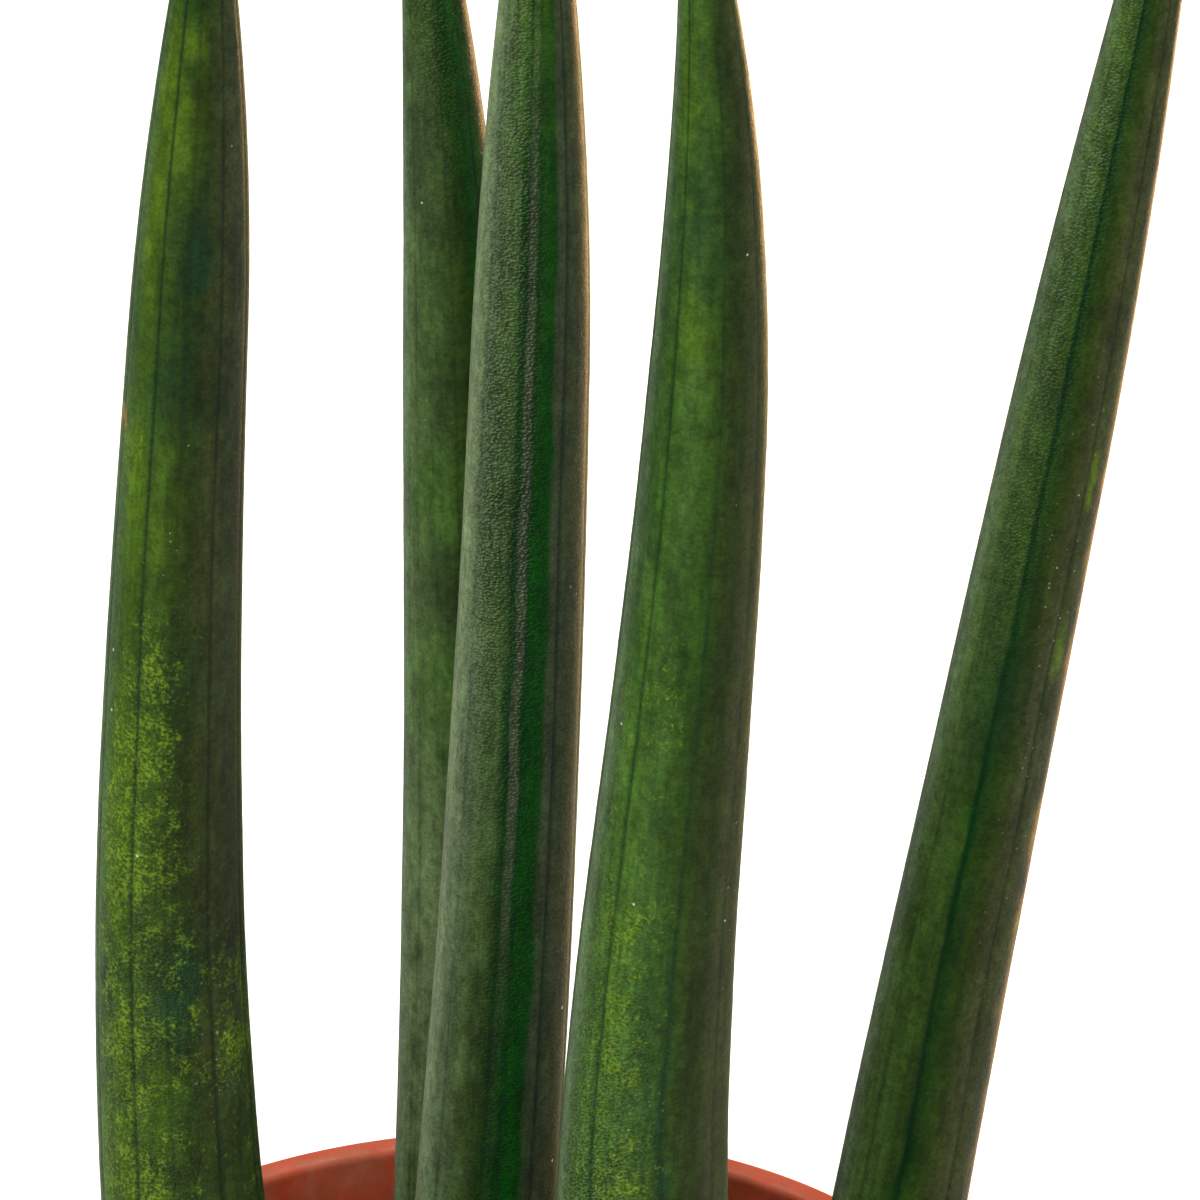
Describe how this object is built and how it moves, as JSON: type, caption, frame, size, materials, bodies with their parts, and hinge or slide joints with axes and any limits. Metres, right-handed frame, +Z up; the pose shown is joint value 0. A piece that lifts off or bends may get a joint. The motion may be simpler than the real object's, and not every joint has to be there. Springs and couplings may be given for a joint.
{
  "type": "potted cylindrical snake plant",
  "caption": "Upright succulent house plant with round, fluted, spear-shaped leaves, mottled green, growing from potting mix in a tapered terracotta-coloured plastic pot with a turned-down rim.",
  "frame": {"origin": "centre of the pot's underside, on the surface that the pot stands on", "axes": "+Z up along the pot's axis; -Y towards the side from which the leaves stand side by side; +X to the right as seen from there, towards the leaf that leans outwards"},
  "size_m": [0.1281, 0.108, 0.2916],
  "materials": {
    "pot_plastic": "satin, terracotta-coloured, dusty",
    "potting_mix": "rough, crumbly",
    "leaf": "semi-matt, pebbly, mottled green",
    "sheath": "dry, papery",
    "rhizome": "smooth, fleshy",
    "perlite": "matt, foamy",
    "bark": "rough, fibrous"
  },
  "bodies": {
    "root": {"pot": "pot_plastic", "potting_mix": "potting_mix", "rhizome": "rhizome", "leaf_left": "leaf", "leaf_back": "leaf", "leaf_centre": "leaf", "leaf_front": "leaf", "leaf_right": "leaf", "sheath_left": "sheath", "sheath_back": "sheath", "sheath_centre": "sheath", "sheath_front": "sheath", "sheath_right": "sheath", "bark_chip_1": "bark", "bark_chip_2": "bark", "bark_chip_3": "bark", "bark_chip_4": "bark", "bark_chip_5": "bark", "bark_chip_6": "bark", "bark_chip_7": "bark", "bark_chip_8": "bark", "bark_chip_9": "bark", "perlite_grain_1": "perlite", "perlite_grain_2": "perlite", "perlite_grain_3": "perlite", "perlite_grain_4": "perlite", "perlite_grain_5": "perlite", "perlite_grain_6": "perlite", "perlite_grain_7": "perlite", "perlite_grain_8": "perlite", "perlite_grain_9": "perlite", "perlite_grain_10": "perlite", "perlite_grain_11": "perlite", "perlite_grain_12": "perlite"}
  },
  "joints": []
}
